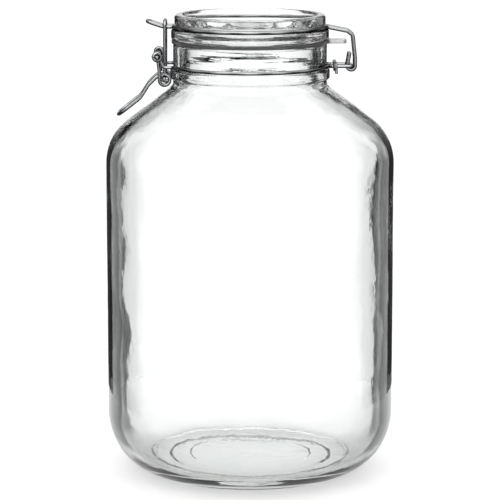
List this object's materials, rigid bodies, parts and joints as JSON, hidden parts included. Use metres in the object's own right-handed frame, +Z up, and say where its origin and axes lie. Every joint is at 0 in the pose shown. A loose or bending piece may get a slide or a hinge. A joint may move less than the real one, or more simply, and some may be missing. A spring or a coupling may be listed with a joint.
{
  "type": "swing-clip glass canister",
  "caption": "Round glass storage canister with a hinged glass lid, a rubber gasket and a swing-clip wire clasp.",
  "frame": {"origin": "centre of the jar's base, on the surface that it stands on", "axes": "+Z up along the jar's axis, -X towards the clasp, +X towards the hinge"},
  "size_m": [0.1766, 0.1766, 0.2823],
  "materials": {
    "clear_glass": "clear, moulded, polished",
    "gasket_rubber": "translucent, satin",
    "steel_wire": "bright drawn wire"
  },
  "bodies": {
    "jar_body": {"jar": "clear_glass", "neck_wire": "steel_wire", "neck_tie": "steel_wire"},
    "lid_body": {"lid": "clear_glass", "gasket": "gasket_rubber", "lid_wire": "steel_wire"},
    "lever_body": {"lever": "steel_wire"},
    "bail_body": {"bail": "steel_wire"}
  },
  "joints": [
    {"name": "lid_hinge", "type": "hinge", "parent": "jar_body", "child": "lid_body", "pos_m": [0.0616, 0, 0.251], "axis": [0, 1, 0], "range_deg": [0, 115]},
    {"name": "lever_swing", "type": "hinge", "parent": "jar_body", "child": "lever_body", "pos_m": [-0.056, 0, 0.2576], "axis": [0, 1, 0], "range_deg": [0, 150]},
    {"name": "bail_swing", "type": "hinge", "parent": "lever_body", "child": "bail_body", "pos_m": [-0.0518, 0, 0.2438], "axis": [0, 1, 0], "range_deg": [-97.5, 0]}
  ],
  "couplings": [
    {"joint": "bail_swing", "follows": "lever_swing", "ratio": -0.65}
  ]
}
